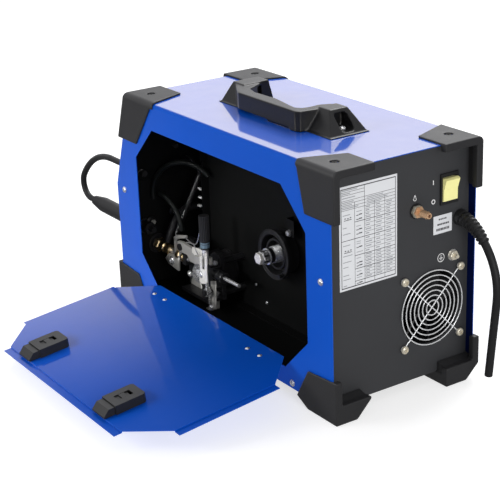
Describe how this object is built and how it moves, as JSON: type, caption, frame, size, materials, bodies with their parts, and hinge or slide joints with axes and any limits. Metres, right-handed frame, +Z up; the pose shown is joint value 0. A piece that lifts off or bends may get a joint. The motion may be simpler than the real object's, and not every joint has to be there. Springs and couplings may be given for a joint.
{
  "type": "mig welder",
  "caption": "Portable wire feed welding power source in a sheet metal cabinet on corner feet, with a carrying handle and a drop down side door open on the wire drive.",
  "frame": {"origin": "on the floor under the middle of the cabinet's width and length", "axes": "+Z up, +Y towards the rear panel, +X towards the side with the door"},
  "size_m": [0.5493, 0.8774, 0.403],
  "materials": {
    "blue_paint": "glossy royal blue powder coat",
    "dark_paint": "satin dark grey powder coat",
    "dark_plastic": "fine textured moulded plastic",
    "black_plastic": "black moulded plastic",
    "rubber_black": "black rubber sheath",
    "zinc_steel": "zinc plated steel",
    "bright_wire": "bright plated wire",
    "brass": "turned brass",
    "rocker_plastic": "translucent pale yellow",
    "label_sheet": "printed sheet, blank apart from plain panels",
    "red_plastic": "red push button",
    "circuit_board": "green laminate",
    "aluminium": "die cast or extruded aluminium",
    "motor_steel": "black coated can with a steel gearbox",
    "iron_core": "laminated core with copper winding"
  },
  "bodies": {
    "case": {"outer_cover": "blue_paint", "hinge_case_leaves": "blue_paint", "base_chassis": "blue_paint", "rear_panel": "dark_paint", "front_panel": "dark_paint", "centre_divider": "dark_paint", "guard_rear_right": "dark_plastic", "guard_rear_left": "dark_plastic", "guard_front_right": "dark_plastic", "guard_front_left": "dark_plastic", "foot_rear_right": "dark_plastic", "foot_rear_left": "dark_plastic", "foot_front_right": "dark_plastic", "foot_front_left": "dark_plastic", "carry_handle": "black_plastic", "fan_frame": "black_plastic", "switch_bezel": "black_plastic", "strain_relief": "black_plastic", "control_panel": "black_plastic", "torch_connector": "black_plastic", "dinse_sockets": "black_plastic", "mains_cable": "rubber_black", "polarity_lead": "rubber_black", "interior_hoses": "rubber_black", "side_screws": "zinc_steel", "guard_screws": "zinc_steel", "handle_screws": "zinc_steel", "wire_guides": "zinc_steel", "spool_axle": "zinc_steel", "hub_spring": "zinc_steel", "fan_guard": "bright_wire", "fan_screws": "brass", "gas_inlet": "brass", "ground_terminal": "brass", "gas_valve": "brass", "rating_label": "label_sheet", "input_label": "label_sheet", "main_board": "circuit_board", "heat_sinks": "aluminium", "feeder_plate": "aluminium", "feed_motor": "motor_steel", "transformer": "iron_core"},
    "side_door": {"door_panel": "blue_paint", "hinge_door_leaves": "blue_paint", "door_rivets": "blue_paint", "latch_housings": "black_plastic"},
    "front_latch": {"latch_bolt_front": "black_plastic"},
    "rear_latch": {"latch_bolt_rear": "black_plastic"},
    "rocker": {"switch_rocker": "rocker_plastic"},
    "fan": {"fan_rotor": "black_plastic"},
    "reel_hub": {"spool_hub": "black_plastic"},
    "feed_roll": {"drive_roll": "zinc_steel"},
    "pressure_lever": {"pressure_arm": "zinc_steel"},
    "idler_roll": {"pressure_roll": "zinc_steel"},
    "tension_lever": {"tension_arm": "zinc_steel", "tension_spring": "zinc_steel"},
    "tension_nut": {"tension_knob": "black_plastic"},
    "left_dial": {"knob_left": "black_plastic"},
    "right_dial": {"knob_right": "black_plastic"},
    "button": {"feed_button": "red_plastic"}
  },
  "joints": [
    {"name": "door_hinge", "type": "hinge", "parent": "case", "child": "side_door", "pos_m": [0.136, 0, 0.053], "axis": [0, 1, 0], "range_deg": [-96.7, 0]},
    {"name": "front_latch_slide", "type": "slide", "parent": "side_door", "child": "front_latch", "axis": [0.9932, 0, -0.1167], "range_m": [-0.009, 0]},
    {"name": "rear_latch_slide", "type": "slide", "parent": "side_door", "child": "rear_latch", "axis": [0.9932, 0, -0.1167], "range_m": [-0.009, 0]},
    {"name": "rocker_pivot", "type": "hinge", "parent": "case", "child": "rocker", "pos_m": [-0.09, 0.283, 0.2986], "axis": [1, 0, 0], "range_deg": [0, 18]},
    {"name": "fan_spin", "type": "hinge", "parent": "case", "child": "fan", "pos_m": [-0.06, 0.27, 0.123], "axis": [0, 1, 0], "continuous": true},
    {"name": "hub_spin", "type": "hinge", "parent": "case", "child": "reel_hub", "pos_m": [0.02, 0.02, 0.149], "axis": [1, 0, 0], "continuous": true},
    {"name": "feed_roll_spin", "type": "hinge", "parent": "case", "child": "feed_roll", "pos_m": [0.066, -0.15, 0.0728], "axis": [1, 0, 0], "continuous": true},
    {"name": "tension_swing", "type": "hinge", "parent": "case", "child": "tension_lever", "pos_m": [0.082, -0.104, 0.058], "axis": [1, 0, 0], "range_deg": [-60, 0], "deforming": ["tension_spring"]},
    {"name": "pressure_lift", "type": "hinge", "parent": "case", "child": "pressure_lever", "pos_m": [0.075, -0.188, 0.112], "axis": [1, 0, 0], "range_deg": [0, 24]},
    {"name": "idler_spin", "type": "hinge", "parent": "pressure_lever", "child": "idler_roll", "pos_m": [0.066, -0.15, 0.1032], "axis": [1, 0, 0], "continuous": true},
    {"name": "tension_turn", "type": "hinge", "parent": "tension_lever", "child": "tension_nut", "pos_m": [0.082, -0.104, 0.165], "axis": [0, 0, 1], "continuous": true},
    {"name": "left_dial_turn", "type": "hinge", "parent": "case", "child": "left_dial", "pos_m": [-0.042, -0.27247, 0.26655], "axis": [0, -0.9451, 0.3267], "range_deg": [-135, 135]},
    {"name": "right_dial_turn", "type": "hinge", "parent": "case", "child": "right_dial", "pos_m": [0.034, -0.27247, 0.26655], "axis": [0, -0.9451, 0.3267], "range_deg": [-135, 135]},
    {"name": "button_press", "type": "slide", "parent": "case", "child": "button", "axis": [0, 0.9451, -0.3267], "range_m": [0, 0.001]}
  ],
  "couplings": [
    {"joint": "pressure_lift", "follows": "tension_swing", "ratio": -0.4},
    {"joint": "idler_spin", "follows": "feed_roll_spin", "ratio": -1}
  ]
}
